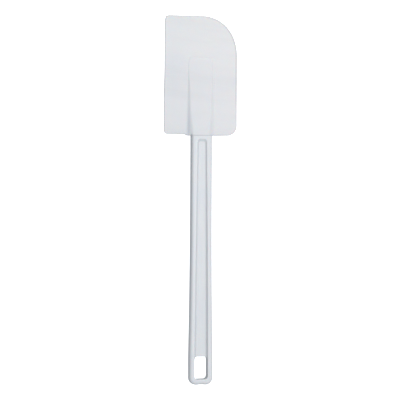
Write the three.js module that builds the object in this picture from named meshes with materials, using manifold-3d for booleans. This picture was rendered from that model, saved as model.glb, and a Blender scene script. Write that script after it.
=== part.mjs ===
// A 14 inch plate and bowl scraper: a rigid I-section handle whose wedge-shaped tang is locked
// inside the moulded socket of a flexible blade. Both pieces lie flat.
// Millimetres. X runs across the blade, Y along the tool towards the blade's tip, and Z through
// the thickness. The origin is the centre of the back face's bounding rectangle, which is on the
// blade's centre line. The handle's centre line is a little to the right of it.
import * as THREE from 'three';
import { ConvexGeometry } from 'three/addons/geometries/ConvexGeometry.js';
import { mergeVertices } from 'three/addons/utils/BufferGeometryUtils.js';
import Module from 'manifold-3d';

// Whole tool
const OVERALL_LENGTH = 355.6;
const THICKNESS = 10.5;
const MOULDING_GAP = 0.3;
const HANDLE_OFFSET = 0.8;

// Blade
const BLADE_WIDTH = 72;
const BLADE_LENGTH = 115.6;
const BLADE_MIDDLE_THICKNESS = 3.0;
const BLADE_EDGE_THICKNESS = 1.5;
const FLAT_MIDDLE_HALF_WIDTH = 15;
const TIP_TAPER_LENGTH = 40;
const SWEPT_CORNER_WIDTH = 34.5;
const SWEPT_CORNER_LENGTH = 38.7;
const SWEPT_CORNER_TOP_PULL = 19;
const SWEPT_CORNER_SIDE_PULL = 23.9;
const TIP_CORNER_RADIUS = 3.5;
const UPPER_LEFT_INSET = 0.6;
const LEFT_WIDENING_START_Y = 128;
const LEFT_WIDENING_END_Y = 103;
const LOWER_LEFT_RADIUS = 3.4;
const LOWER_RIGHT_RADIUS = 9.5;
const LOWER_LEFT_RISE = 1.45;
const LOWER_RIGHT_RISE = 0.5;
const LOWER_LEFT_STEP_WIDTH = 4;
const LOWER_LEFT_STEP_RISE = 1.25;
const LOWER_LEFT_STEP_RADIUS = 1.5;

// Socket, the raised tongue that is moulded round the tang on both faces of the blade
const SOCKET_LENGTH = 76;
const SOCKET_MOUTH_HALF_WIDTH = 13;
const SOCKET_TIP_HALF_WIDTH = 11.5;
const SOCKET_TIP_RADIUS = 4.5;
const SOCKET_WALL_RUN_PER_HEIGHT = 1.7;
// Distance from the mouth and height above the blade's face, which falls steeply at first
const SOCKET_STATIONS = [
  [0, 3.75],
  [21, 1.85],
  [48, 1.05],
  [62, 0.35],
  [SOCKET_LENGTH, 0.2],
];

// Tang, the hidden end of the handle
const TANG_LENGTH = 68;
const TANG_ROOT_HALF_WIDTH = 8;
const TANG_TIP_HALF_WIDTH = 7;
const TANG_ROOT_HALF_THICKNESS = 3.2;
const TANG_TIP_HALF_THICKNESS = 0.7;
const TANG_TIP_CHAMFER = 2;
const WINDOW_COUNT = 3;
const WINDOW_SPACING = 18;
const FIRST_WINDOW_OFFSET = 16;
const WINDOW_LENGTH = 11;
const WINDOW_WIDTH = 7;

// Handle
const HANDLE_NECK_WIDTH = 20.4;
const HANDLE_END_WIDTH = 23.1;
const FLARE_START_Y = 12;
const FLARE_END_Y = -155;
const FLARE_START_PULL = 105;
const FLARE_END_PULL = 15;
const HANDLE_EDGE_RADIUS = 2.2;
const HANDLE_END_RADIUS = 6.8;
const END_DIP_WIDTH = 9;
const END_DIP_DEPTH = 0.5;

// Lightening recess on each face, which makes the I-section and runs into the hang slot
const RECESS_TOP_Y = 59.4;
const RECESS_BOTTOM_Y = -153.5;
const RECESS_TOP_HALF_WIDTH = 5;
const RECESS_MIDDLE_HALF_WIDTH = 6.5;
const RECESS_BOTTOM_HALF_WIDTH = 6.9;
const RECESS_CURVE_Y = -60;
const RECESS_CORNER_RADIUS = 3.2;
const RECESS_TOP_DEPTH = 1.4;
const RECESS_BOTTOM_DEPTH = 2.6;
const RECESS_WALL_RUN_PER_DEPTH = 0.6;
const RECESS_END_RUNOUT = 2.4;

// Hang slot
const SLOT_WIDTH = 12.6;
const SLOT_TOP_Y = -150.7;
const SLOT_BOTTOM_Y = -172.1;
const SLOT_CORNER_RADIUS = 3;

// Where the pieces stand
const TIP_Y = OVERALL_LENGTH / 2;
const END_Y = -OVERALL_LENGTH / 2;
const MOUTH_Y = TIP_Y - BLADE_LENGTH;
const MID_Z = THICKNESS / 2;
const PAST_FACE = 1;
const CURVE_STEPS = 12;
const EDGE_STEPS = 4;

const wasm = await Module();
wasm.setup();

// Turns a closed three.js geometry into a solid that can be joined and cut.
function solid(geometry) {
  geometry.deleteAttribute('normal');
  geometry.deleteAttribute('uv');
  const merged = mergeVertices(geometry, 1e-4);
  const mesh = new wasm.Mesh({
    numProp: 3,
    vertProperties: Float32Array.from(merged.attributes.position.array),
    triVerts: Uint32Array.from(merged.index.array),
  });
  return new wasm.Manifold(mesh);
}

// Turns a solid back into a mesh with flat facets.
function namedMesh(name, body, material) {
  const { vertProperties, triVerts } = body.getMesh();
  const geometry = new THREE.BufferGeometry();
  geometry.setAttribute('position', new THREE.BufferAttribute(vertProperties, 3));
  geometry.setIndex(new THREE.BufferAttribute(triVerts, 1));
  const mesh = new THREE.Mesh(geometry, material);
  mesh.name = name;
  return mesh;
}

function plasticMaterial(colour, roughness) {
  return new THREE.MeshStandardMaterial({ color: colour, roughness, metalness: 0, flatShading: true });
}

// A plain extrusion of an outline, centred on the tool's middle plane.
function slab(outline, thickness) {
  const geometry = new THREE.ExtrudeGeometry(outline, {
    depth: thickness,
    bevelEnabled: false,
    curveSegments: CURVE_STEPS,
  });
  return geometry.translate(0, 0, MID_Z - thickness / 2);
}

// Adds the rounded corner between two straight edges to a path.
function addRoundCorner(path, before, corner, after, radius) {
  const back = before.clone().sub(corner).normalize();
  const ahead = after.clone().sub(corner).normalize();
  const halfAngle = Math.acos(back.dot(ahead)) / 2;
  const bisector = back.clone().add(ahead).normalize();
  const centre = corner.clone().addScaledVector(bisector, radius / Math.sin(halfAngle));
  const start = corner.clone().addScaledVector(back, radius / Math.tan(halfAngle)).sub(centre);
  const end = corner.clone().addScaledVector(ahead, radius / Math.tan(halfAngle)).sub(centre);
  const clockwise = back.cross(ahead) > 0;
  path.lineTo(centre.x + start.x, centre.y + start.y);
  path.absarc(centre.x, centre.y, radius, start.angle(), end.angle(), clockwise);
}

function roundedRectangle(halfWidth, bottom, top, radius) {
  const corners = [
    new THREE.Vector2(halfWidth, bottom),
    new THREE.Vector2(halfWidth, top),
    new THREE.Vector2(-halfWidth, top),
    new THREE.Vector2(-halfWidth, bottom),
  ];
  const shape = new THREE.Shape();
  shape.moveTo(0, bottom);
  corners.forEach((corner, i) => {
    addRoundCorner(shape, corners.at(i - 1), corner, corners[(i + 1) % corners.length], radius);
  });
  shape.closePath();
  return shape;
}

// The blade's outline: three small corners, one large swept corner at the upper right, and a
// short step down to the socket's mouth on the lower left.
function bladeOutline() {
  const half = BLADE_WIDTH / 2;
  const upperLeft = new THREE.Vector2(-half + UPPER_LEFT_INSET, TIP_Y);
  const narrowLeft = new THREE.Vector2(-half + UPPER_LEFT_INSET, LEFT_WIDENING_START_Y);
  const wideLeft = new THREE.Vector2(-half, LEFT_WIDENING_END_Y);
  const lowerLeft = new THREE.Vector2(-half, MOUTH_Y + LOWER_LEFT_RISE);
  const lowerRight = new THREE.Vector2(half, MOUTH_Y + LOWER_RIGHT_RISE);
  const socketLeft = new THREE.Vector2(-SOCKET_MOUTH_HALF_WIDTH, MOUTH_Y);
  const stepX = socketLeft.x - LOWER_LEFT_STEP_WIDTH;
  const stepLeft = new THREE.Vector2(stepX, MOUTH_Y + LOWER_LEFT_STEP_RISE);
  const socketRight = new THREE.Vector2(SOCKET_MOUTH_HALF_WIDTH, MOUTH_Y);
  const sweepStart = new THREE.Vector2(half, TIP_Y - SWEPT_CORNER_LENGTH);
  const sweepEnd = new THREE.Vector2(half - SWEPT_CORNER_WIDTH, TIP_Y);
  const shape = new THREE.Shape();
  shape.moveTo(sweepStart.x, sweepStart.y);
  shape.bezierCurveTo(
    half, sweepStart.y + SWEPT_CORNER_SIDE_PULL,
    sweepEnd.x + SWEPT_CORNER_TOP_PULL, TIP_Y,
    sweepEnd.x, sweepEnd.y,
  );
  addRoundCorner(shape, sweepEnd, upperLeft, narrowLeft, TIP_CORNER_RADIUS);
  shape.lineTo(narrowLeft.x, narrowLeft.y);
  shape.lineTo(wideLeft.x, wideLeft.y);
  addRoundCorner(shape, wideLeft, lowerLeft, stepLeft, LOWER_LEFT_RADIUS);
  addRoundCorner(shape, lowerLeft, stepLeft, socketLeft, LOWER_LEFT_STEP_RADIUS);
  shape.lineTo(socketLeft.x, socketLeft.y);
  shape.lineTo(socketRight.x, socketRight.y);
  addRoundCorner(shape, socketRight, lowerRight, sweepStart, LOWER_RIGHT_RADIUS);
  shape.closePath();
  return shape;
}

// Closed polygon that is symmetric about the middle plane, from [position, half height] pairs.
function symmetricProfile(stations) {
  const upper = stations.map(([along, half]) => new THREE.Vector2(along, half));
  const lower = stations.toReversed().map(([along, half]) => new THREE.Vector2(along, -half));
  return new THREE.Shape([...lower, ...upper].reverse());
}

// The blade thins towards both sides.
function sideTaper() {
  const middle = BLADE_MIDDLE_THICKNESS / 2;
  const edge = BLADE_EDGE_THICKNESS / 2;
  const half = BLADE_WIDTH / 2 + PAST_FACE;
  const profile = symmetricProfile([
    [-half, edge],
    [-FLAT_MIDDLE_HALF_WIDTH, middle],
    [FLAT_MIDDLE_HALF_WIDTH, middle],
    [half, edge],
  ]);
  const geometry = new THREE.ExtrudeGeometry(profile, {
    depth: BLADE_LENGTH + 2 * PAST_FACE,
    bevelEnabled: false,
  });
  return geometry.rotateX(Math.PI / 2).translate(0, TIP_Y + PAST_FACE, MID_Z);
}

// The blade thins towards its tip.
function tipTaper() {
  const middle = BLADE_MIDDLE_THICKNESS / 2;
  const edge = BLADE_EDGE_THICKNESS / 2;
  const profile = symmetricProfile([
    [MOUTH_Y - PAST_FACE, middle],
    [TIP_Y - TIP_TAPER_LENGTH, middle],
    [TIP_Y + PAST_FACE, edge],
  ]);
  const width = BLADE_WIDTH + 2 * PAST_FACE;
  const geometry = new THREE.ExtrudeGeometry(profile, { depth: width, bevelEnabled: false });
  const alongX = new THREE.Matrix4().makeBasis(
    new THREE.Vector3(0, 1, 0),
    new THREE.Vector3(0, 0, 1),
    new THREE.Vector3(1, 0, 0),
  );
  return geometry.applyMatrix4(alongX).translate(-width / 2, 0, MID_Z);
}

// Half width of the socket's foot, which narrows to a rounded tip.
function socketHalfWidth(along) {
  const narrowing = (SOCKET_MOUTH_HALF_WIDTH - SOCKET_TIP_HALF_WIDTH) * (along / SOCKET_LENGTH);
  const straight = SOCKET_MOUTH_HALF_WIDTH - narrowing;
  const pastShoulder = Math.max(along - (SOCKET_LENGTH - SOCKET_TIP_RADIUS), 0);
  return straight - SOCKET_TIP_RADIUS + Math.sqrt(SOCKET_TIP_RADIUS ** 2 - pastShoulder ** 2);
}

// One stretch of the socket, between two stations: a trapezoid on both sides of the middle plane.
function socketSpan([start, startHeight], [end, endHeight]) {
  const blade = BLADE_MIDDLE_THICKNESS / 2;
  const shoulder = SOCKET_LENGTH - SOCKET_TIP_RADIUS;
  const sections = [start];
  if (end > shoulder) {
    for (let i = 0; i < EDGE_STEPS; i += 1) {
      sections.push(shoulder + SOCKET_TIP_RADIUS * Math.sin((i / EDGE_STEPS) * (Math.PI / 2)));
    }
  }
  sections.push(end);
  const points = [];
  for (const along of sections) {
    const halfWidth = socketHalfWidth(along);
    const height = THREE.MathUtils.mapLinear(along, start, end, startHeight, endHeight);
    const topHalfWidth = halfWidth - SOCKET_WALL_RUN_PER_HEIGHT * height;
    for (const [x, z] of [[halfWidth, blade], [topHalfWidth, blade + height]]) {
      for (const [sideX, sideZ] of [[-1, -1], [-1, 1], [1, -1], [1, 1]]) {
        points.push(new THREE.Vector3(sideX * x, MOUTH_Y + along, MID_Z + sideZ * z));
      }
    }
  }
  return solid(new ConvexGeometry(points));
}

// The raised tongue: as thick as the handle at its mouth, almost level with the blade at its tip.
function socketWedge() {
  const spans = SOCKET_STATIONS.slice(1).map((station, i) => socketSpan(SOCKET_STATIONS[i], station));
  return spans.reduce((body, span) => body.add(span));
}

// The wedge-shaped tang, grown by a clearance to make the cavity that it sits in.
function tangWedge(clearance) {
  const tipY = MOUTH_Y + TANG_LENGTH + clearance;
  const rootY = MOUTH_Y - PAST_FACE;
  const shoulderY = tipY - TANG_TIP_CHAMFER;
  const stations = [
    [TANG_ROOT_HALF_WIDTH, rootY, TANG_ROOT_HALF_THICKNESS],
    [TANG_TIP_HALF_WIDTH, shoulderY, TANG_TIP_HALF_THICKNESS],
    [TANG_TIP_HALF_WIDTH - TANG_TIP_CHAMFER, tipY, TANG_TIP_HALF_THICKNESS],
  ];
  const points = [];
  for (const [halfWidth, y, halfThickness] of stations) {
    for (const [sideX, sideZ] of [[-1, -1], [-1, 1], [1, -1], [1, 1]]) {
      const x = HANDLE_OFFSET + sideX * (halfWidth + clearance);
      const z = MID_Z + sideZ * (halfThickness + clearance);
      points.push(new THREE.Vector3(x, y, z));
    }
  }
  return new ConvexGeometry(points);
}

// The windows along the tang, through which the blade's material joins its two faces.
function tangWindows(clearance) {
  const halfWidth = WINDOW_WIDTH / 2 - clearance;
  const windows = [];
  for (let i = 0; i < WINDOW_COUNT; i += 1) {
    const bottom = MOUTH_Y + FIRST_WINDOW_OFFSET + i * WINDOW_SPACING + clearance;
    const top = bottom + WINDOW_LENGTH - 2 * clearance;
    const outline = roundedRectangle(halfWidth, bottom, top, halfWidth * 0.98);
    windows.push(solid(slab(outline, THICKNESS - 2 * PAST_FACE).translate(HANDLE_OFFSET, 0, 0)));
  }
  return windows;
}

function tangSolid(clearance) {
  return tangWindows(clearance).reduce((body, window) => body.subtract(window), solid(tangWedge(clearance)));
}

// The handle's outline: parallel below the blade, then flaring gently to a rounded end.
function handleOutline() {
  const inset = HANDLE_EDGE_RADIUS;
  const neck = HANDLE_NECK_WIDTH / 2 - inset;
  const end = HANDLE_END_WIDTH / 2 - inset;
  const endY = END_Y + inset;
  const topY = MOUTH_Y + HANDLE_EDGE_RADIUS + PAST_FACE;
  const endLeft = new THREE.Vector2(-end, endY);
  const endRight = new THREE.Vector2(end, endY);
  const dip = END_DIP_WIDTH / 2;
  const radius = HANDLE_END_RADIUS - inset;
  const shape = new THREE.Shape();
  shape.moveTo(neck, topY);
  shape.lineTo(-neck, topY);
  shape.lineTo(-neck, FLARE_START_Y);
  shape.bezierCurveTo(
    -neck, FLARE_START_Y - FLARE_START_PULL,
    -end, FLARE_END_Y + FLARE_END_PULL,
    -end, FLARE_END_Y,
  );
  addRoundCorner(shape, new THREE.Vector2(-end, FLARE_END_Y), endLeft, endRight, radius);
  shape.lineTo(-dip, endY);
  shape.bezierCurveTo(-dip / 2, endY, -dip / 2, endY + END_DIP_DEPTH, 0, endY + END_DIP_DEPTH);
  shape.bezierCurveTo(dip / 2, endY + END_DIP_DEPTH, dip / 2, endY, dip, endY);
  addRoundCorner(shape, endLeft, endRight, new THREE.Vector2(end, FLARE_END_Y), radius);
  shape.lineTo(end, FLARE_END_Y);
  shape.bezierCurveTo(
    end, FLARE_END_Y + FLARE_END_PULL,
    neck, FLARE_START_Y - FLARE_START_PULL,
    neck, FLARE_START_Y,
  );
  shape.closePath();
  return shape;
}

// The handle's solid bar with its rounded outer edges, cut square where it meets the socket.
function handleBar() {
  const geometry = new THREE.ExtrudeGeometry(handleOutline(), {
    depth: THICKNESS - 2 * HANDLE_EDGE_RADIUS,
    bevelThickness: HANDLE_EDGE_RADIUS,
    bevelSize: HANDLE_EDGE_RADIUS,
    bevelSegments: EDGE_STEPS,
    curveSegments: CURVE_STEPS,
  });
  geometry.translate(HANDLE_OFFSET, 0, HANDLE_EDGE_RADIUS);
  const cutHeight = 4 * HANDLE_EDGE_RADIUS;
  const cut = new THREE.BoxGeometry(BLADE_WIDTH, cutHeight, 2 * THICKNESS);
  cut.translate(0, MOUTH_Y - MOULDING_GAP + cutHeight / 2, MID_Z);
  return solid(geometry).subtract(solid(cut));
}

// One face's recess: its floor is smaller than its rim, with a longer slope at the two ends, and
// it deepens towards the handle's end.
function recessTool(side) {
  const middleY = (RECESS_TOP_Y + RECESS_BOTTOM_Y) / 2;
  const top = RECESS_TOP_Y;
  const bottom = RECESS_BOTTOM_Y;
  const rim = new THREE.Path();
  rim.moveTo(0, top);
  addRoundCorner(
    rim,
    new THREE.Vector2(0, top),
    new THREE.Vector2(RECESS_TOP_HALF_WIDTH, top),
    new THREE.Vector2(RECESS_TOP_HALF_WIDTH, middleY),
    RECESS_CORNER_RADIUS,
  );
  rim.quadraticCurveTo(
    RECESS_MIDDLE_HALF_WIDTH, RECESS_CURVE_Y,
    RECESS_BOTTOM_HALF_WIDTH, bottom + RECESS_CORNER_RADIUS,
  );
  addRoundCorner(
    rim,
    new THREE.Vector2(RECESS_BOTTOM_HALF_WIDTH, middleY),
    new THREE.Vector2(RECESS_BOTTOM_HALF_WIDTH, bottom),
    new THREE.Vector2(0, bottom),
    RECESS_CORNER_RADIUS,
  );
  rim.lineTo(0, bottom);
  const lengthScale = 1 - (2 * RECESS_END_RUNOUT) / (top - bottom);
  const points = [];
  for (const { x, y } of rim.getPoints(EDGE_STEPS)) {
    const floorY = middleY + (y - middleY) * lengthScale;
    const depth = THREE.MathUtils.mapLinear(floorY, top, bottom, RECESS_TOP_DEPTH, RECESS_BOTTOM_DEPTH);
    const floorX = Math.max(x - RECESS_WALL_RUN_PER_DEPTH * depth, 0);
    for (const mirror of [-1, 1]) {
      const rimX = HANDLE_OFFSET + mirror * x;
      points.push(new THREE.Vector3(rimX, y, MID_Z + side * MID_Z));
      points.push(new THREE.Vector3(rimX, y, MID_Z + side * (MID_Z + PAST_FACE)));
      points.push(new THREE.Vector3(HANDLE_OFFSET + mirror * floorX, floorY, MID_Z + side * (MID_Z - depth)));
    }
  }
  return solid(new ConvexGeometry(points));
}

function hangSlot() {
  const outline = roundedRectangle(SLOT_WIDTH / 2, SLOT_BOTTOM_Y, SLOT_TOP_Y, SLOT_CORNER_RADIUS);
  return solid(slab(outline, THICKNESS + 2 * PAST_FACE).translate(HANDLE_OFFSET, 0, 0));
}

function handle() {
  const body = handleBar()
    .subtract(recessTool(1))
    .subtract(recessTool(-1))
    .subtract(hangSlot())
    .add(tangSolid(0));
  return namedMesh('handle', body, plasticMaterial(0xe6e9ec, 0.4));
}

function blade() {
  const body = solid(slab(bladeOutline(), BLADE_MIDDLE_THICKNESS))
    .intersect(solid(sideTaper()))
    .intersect(solid(tipTaper()))
    .add(socketWedge())
    .subtract(tangSolid(MOULDING_GAP));
  return namedMesh('blade', body, plasticMaterial(0xebedf0, 0.6));
}

const scraper = new THREE.Group();
scraper.add(handle(), blade());

export default scraper;
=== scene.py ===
"""Looks for a long-handled bowl scraper: a soft blade moulded round the tang of a rigid handle.

Shapes are worked out in millimetres: X across the tool, Y along it, and Z above the middle plane
of its thickness. The blade's X is measured from the blade's centre line, and the handle's from its
own, which is at HANDLE_X. Each face is a set of plan grids with a height, its open edges are
rolled over to the middle plane, and the back mirrors the front. Finished meshes are in metres.
"""

import math

import bmesh
import bpy
import numpy as np
from mathutils import Matrix, Vector
from mathutils.kdtree import KDTree


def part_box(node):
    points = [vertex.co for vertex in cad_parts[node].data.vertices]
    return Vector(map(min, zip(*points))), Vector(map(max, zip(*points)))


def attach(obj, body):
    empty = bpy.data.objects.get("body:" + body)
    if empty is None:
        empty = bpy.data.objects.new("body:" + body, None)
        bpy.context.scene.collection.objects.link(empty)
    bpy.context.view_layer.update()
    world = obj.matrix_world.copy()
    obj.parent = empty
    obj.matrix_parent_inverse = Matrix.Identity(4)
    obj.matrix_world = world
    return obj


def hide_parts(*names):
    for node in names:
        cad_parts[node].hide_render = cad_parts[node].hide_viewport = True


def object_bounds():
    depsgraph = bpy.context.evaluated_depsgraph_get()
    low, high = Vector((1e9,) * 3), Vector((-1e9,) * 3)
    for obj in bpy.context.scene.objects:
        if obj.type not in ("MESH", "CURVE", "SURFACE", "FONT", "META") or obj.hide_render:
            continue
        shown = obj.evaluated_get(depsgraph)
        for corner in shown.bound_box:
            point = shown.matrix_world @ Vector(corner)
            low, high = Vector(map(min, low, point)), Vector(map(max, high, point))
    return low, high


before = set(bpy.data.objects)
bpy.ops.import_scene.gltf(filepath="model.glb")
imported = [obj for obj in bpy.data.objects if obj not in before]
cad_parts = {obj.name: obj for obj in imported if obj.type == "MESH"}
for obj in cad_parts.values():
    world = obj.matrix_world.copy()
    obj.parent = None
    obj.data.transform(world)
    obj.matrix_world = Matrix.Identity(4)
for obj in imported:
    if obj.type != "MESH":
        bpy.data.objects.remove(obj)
cad_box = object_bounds()

MM = 0.001
WELD = 0.002
CORNER_STEPS = 5
blade_low, blade_high = (np.array(corner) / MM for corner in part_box("blade"))
handle_low, handle_high = (np.array(corner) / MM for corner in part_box("handle"))

# Places that come from the frame
TIP_Y = blade_high[1]
MOUTH_Y = blade_low[1]
BLADE_HALF_WIDTH = blade_high[0]
END_Y = handle_low[1]
HANDLE_X = (handle_low[0] + handle_high[0]) / 2
END_HALF_WIDTH = handle_high[0] - HANDLE_X
HALF_THICKNESS = handle_high[2] / 2

# Blade outline
SWEEP_WIDTH = 34.5
SWEEP_LENGTH = 38.7
SWEEP_TOP_PULL = 19.0
SWEEP_SIDE_PULL = 23.9
TIP_CORNER_RADIUS = 3.5
UPPER_LEFT_INSET = 0.6
# Where the left edge starts and stops moving out by the inset, going down the blade
LEFT_WIDENING = (133.0, 98.0)
LOWER_LEFT_RADIUS = 3.4
LOWER_RIGHT_RADIUS = 9.5
LOWER_LEFT_RISE = 1.45
LOWER_RIGHT_RISE = 0.5
# Width and rise of the step beside the socket
LOWER_LEFT_STEP = (2.6, 1.3)
LOWER_LEFT_STEP_RADIUS = 1.2
LEFT_FOOT_RADIUS = 0.6

# Blade thickness, as half thicknesses above the middle plane
BLADE_MIDDLE = 1.5
BLADE_EDGE = 0.8
SIDE_TAPER_START = 13.0
TIP_TAPER_LENGTH = 45.0
RIM_RADIUS = 0.6
MOUTH_ROUNDING = 0.08

# Socket
SOCKET_LENGTH = 76.0
SOCKET_X = -0.35
SOCKET_MOUTH_HALF_WIDTH = 13.3
SOCKET_TIP_HALF_WIDTH = 11.8
SOCKET_TIP_RADIUS = 4.5
SOCKET_WALL_SLOPE = 0.65
# Distance from the mouth and height above the blade's face; the first station is past the mouth
SOCKET_STATIONS = ((-12, 4.84), (0, 3.75), (21, 1.85), (48, 1.05), (62, 0.35), (76, 0.2))
SOCKET_SOFTENING = 6.0
SOCKET_END_SLOPE = 1.6
SOCKET_END_SIDE_SLOPE = 4.0

# Tang, which the socket hides: half width and half thickness at its root and its tip
TANG_LENGTH = 68.0
TANG_ROOT = (8.0, 3.2)
TANG_TIP = (7.0, 0.7)
TANG_CHAMFER = 2.0
TANG_FIT = 0.05
WINDOW_COUNT = 3
WINDOW_SPACING = 18.0
FIRST_WINDOW_OFFSET = 16.0
WINDOW_LENGTH = 11.0
WINDOW_HALF_WIDTH = 3.5

# Handle
SEAM_GAP = 0.03
NECK_Y = MOUTH_Y - SEAM_GAP
NECK_HALF_WIDTH = 10.2
FLARE_START_Y = 12.0
FLARE_END_Y = -155.0
FLARE_START_PULL = 105.0
FLARE_END_PULL = 15.0
HANDLE_EDGE_RADIUS = 2.2
HANDLE_DRAFT_RUN = 0.12
HANDLE_END_RADIUS = 6.8
END_DIP_HALF_WIDTH = 4.5
END_DIP_DEPTH = 0.5

# Recess on each face of the handle
RECESS_TOP_Y = 59.4
RECESS_BOTTOM_Y = -147.2
RECESS_TOP_HALF_WIDTH = 5.0
RECESS_MIDDLE_HALF_WIDTH = 6.5
RECESS_BOTTOM_HALF_WIDTH = 6.9
RECESS_CURVE_Y = -60.0
RECESS_CORNER_RADIUS = 3.2
RECESS_DEPTH = 2.6
RECESS_TOP_SHARE = 0.54
# How far from its ends the rungs beside the recess lean towards the neck and the split
RECESS_RIM_REACH = 6.0
RECESS_SIDE_DRAFT = math.radians(15)
RECESS_END_DRAFT = math.radians(40)
RECESS_RIM_FILLET = 0.8
RECESS_FLOOR_FILLET = 1.9
RECESS_END_FILLET = 2.0
# Upper and lower end of the cut that runs the recess on into the slot
RECESS_OPENING = (-142.8, -153.7)
OPENING_FIT = 0.02

# Hang slot, and the line across the handle between it and the recess
SLOT_HALF_WIDTH = 6.3
SLOT_TOP_Y = -150.7
SLOT_BOTTOM_Y = -172.1
SLOT_CORNER_RADIUS = 3.0
SLOT_FILLET = 0.5
SLOT_DRAFT_RUN = 0.1
SPLIT_Y = (RECESS_BOTTOM_Y + SLOT_TOP_Y) / 2

# Fine ridge where the two halves of the mould met, and the marks of its ejector pins and gate
PARTING_HEIGHT = 0.05
PARTING_HALF_WIDTH = 0.14
EJECTOR_RADIUS = 2.5
EJECTOR_DEPTH = 0.12
EJECTOR_COUNT = 5
EJECTOR_END_MARGIN = 14.0
# Keeps the round marks' corners off the handle's grid lines, where cuts would leave gaps
DISC_TURN = 0.04
GATE_RADIUS = 1.2
GATE_HEIGHT = 0.3

# Marked zones, each with the distance from its line at which it has faded out
RIM_REACH = 2.0
CREASE_REACH = 1.5
CREASE_INSET = 1.5
CREASE_LENGTH = 40.0
WEAR_REACH = 2.6
WEAR_DEPTH = 1.2

# Colours
BLADE_COOL = (0.650, 0.668, 0.700)
BLADE_WARM = (0.668, 0.676, 0.696)
# Dark specks and smears, and also painted shade towards the blade's lower edge
BLADE_MARKS_AND_SHADE = (0.600, 0.610, 0.628)
# Painted light on the blade's right side
BLADE_LIT_SIDE = (0.713, 0.700, 0.712)
# Painted light towards the blade's tip
BLADE_LIT_TIP = (0.755, 0.755, 0.742)
# Painted shade along the blade's rounded rim
BLADE_RIM_SHADE = (0.560, 0.575, 0.596)
# Painted shade in a line just inside the blade's right rim
BLADE_RIM_LINE_SHADE = (0.500, 0.495, 0.495)
# Painted shade in the crease by the socket's left wall
BLADE_CREASE_SHADE = (0.520, 0.550, 0.620)
HANDLE_COOL = (0.602, 0.628, 0.664)
HANDLE_WARM = (0.622, 0.638, 0.660)
HANDLE_DARK = (0.556, 0.577, 0.607)
HANDLE_PALE = (0.680, 0.700, 0.718)
FLOOR_COOL = (0.90, 0.90, 0.91)
FLOOR_WARM = (0.93, 0.93, 0.93)

# Floor, as the radius and height of each ring in metres, and light
FLOOR_RINGS = ((0.02, 0), (0.3, 0), (1.5, 0), (3.0, 0.05), (4.2, 0.5), (5.0, 1.6), (5.3, 3.2))
FLOOR_SIDES = 64
FLOOR_GLOW = 0.9
SKY = (0.506, 0.523, 0.543)
SKY_STRENGTH = 1.0
KEY_PLACE = (0.28, 0.16, 1.32)
KEY_SIZE = 1.2
KEY_POWER = 12.2
KEY_COLOUR = (1.0, 0.995, 0.985)

# View
VIEW_FROM_LEFT = math.radians(11.5)
VIEW_ROLL = math.radians(0.26)
CAMERA_DISTANCE = 1.6
CAMERA_LENS = 149.3
SENSOR_WIDTH = 36
AIM_OFFSET = (-0.00013, 0.00024)


# Plan curves

def bezier(a, b, c, d, count=160):
    t = np.linspace(0, 1, count)[:, None]
    a, b, c, d = (np.array(p, float) for p in (a, b, c, d))
    return (1 - t) ** 3 * a + 3 * t * (1 - t) ** 2 * b + 3 * t * t * (1 - t) * c + t ** 3 * d


def round_corner(before, corner, after, radius, count=60):
    """The arc that rounds the corner between two straight edges."""
    before, corner, after = (np.array(p, float) for p in (before, corner, after))
    back = (before - corner) / np.linalg.norm(before - corner)
    ahead = (after - corner) / np.linalg.norm(after - corner)
    half = math.acos(float(back @ ahead)) / 2
    bisector = (back + ahead) / np.linalg.norm(back + ahead)
    centre = corner + bisector * radius / math.sin(half)
    start = corner + back * radius / math.tan(half) - centre
    end = corner + ahead * radius / math.tan(half) - centre
    first = math.atan2(start[1], start[0])
    turn = (math.atan2(end[1], end[0]) - first + math.pi) % (2 * math.pi) - math.pi
    angles = first + turn * np.linspace(0, 1, count)
    return centre + radius * np.column_stack([np.cos(angles), np.sin(angles)])


def mirrored(points):
    """The same curve on the other side of the Y axis, run the other way."""
    return points[::-1] * np.array([-1, 1])


class Path:
    """A plan curve that is read by the distance along it. The open air is on its left."""

    def __init__(self, *pieces):
        points = np.vstack(pieces)
        keep = np.r_[True, np.linalg.norm(np.diff(points, axis=0), axis=1) > 1e-6]
        corners = points[keep]
        steps = np.linalg.norm(np.diff(corners, axis=0), axis=1)
        along = np.r_[0.0, np.cumsum(steps)]
        self.length = along[-1]
        self.along = np.linspace(0, self.length, int(self.length / 0.05))
        self.points = np.column_stack([np.interp(self.along, along, corners[:, k]) for k in (0, 1)])

    def at(self, distance):
        return np.column_stack([np.interp(distance, self.along, self.points[:, k]) for k in (0, 1)])

    def outward(self, distance, reach=0.2):
        ahead = self.at(np.clip(np.asarray(distance) + reach, 0, self.length))
        behind = self.at(np.clip(np.asarray(distance) - reach, 0, self.length))
        tangent = ahead - behind
        tangent /= np.linalg.norm(tangent, axis=1)[:, None]
        return np.column_stack([-tangent[:, 1], tangent[:, 0]])

    def inset(self, distance, depth):
        return self.at(distance) - depth * self.outward(distance)

    def nearest(self, point):
        """How far along the path it comes closest to a point, and how far off the point is."""
        gaps = np.linalg.norm(self.points - np.array(point), axis=1)
        best = gaps.argmin()
        return self.along[best], gaps[best]


def smooth_min(a, b, blend):
    share = np.clip(0.5 + 0.5 * (b - a) / blend, 0, 1)
    return b + (a - b) * share - blend * share * (1 - share)


def smooth_max(a, b, blend):
    return -smooth_min(-a, -b, blend)


def ease(x):
    x = np.clip(x, 0, 1)
    return x * x * (3 - 2 * x)


def closing_steps(length, fine, coarse, growth):
    """Distances from 0 to length that start and end with fine steps and are coarse between."""
    steps = []
    step = fine
    while sum(steps) + step < length / 2:
        steps.append(step)
        step = min(step * growth, coarse)
    half = np.r_[0.0, np.cumsum(steps)]
    half *= length / 2 / half[-1]
    return np.r_[half, (length - half[::-1])[1:]]


# Mesh building

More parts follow.
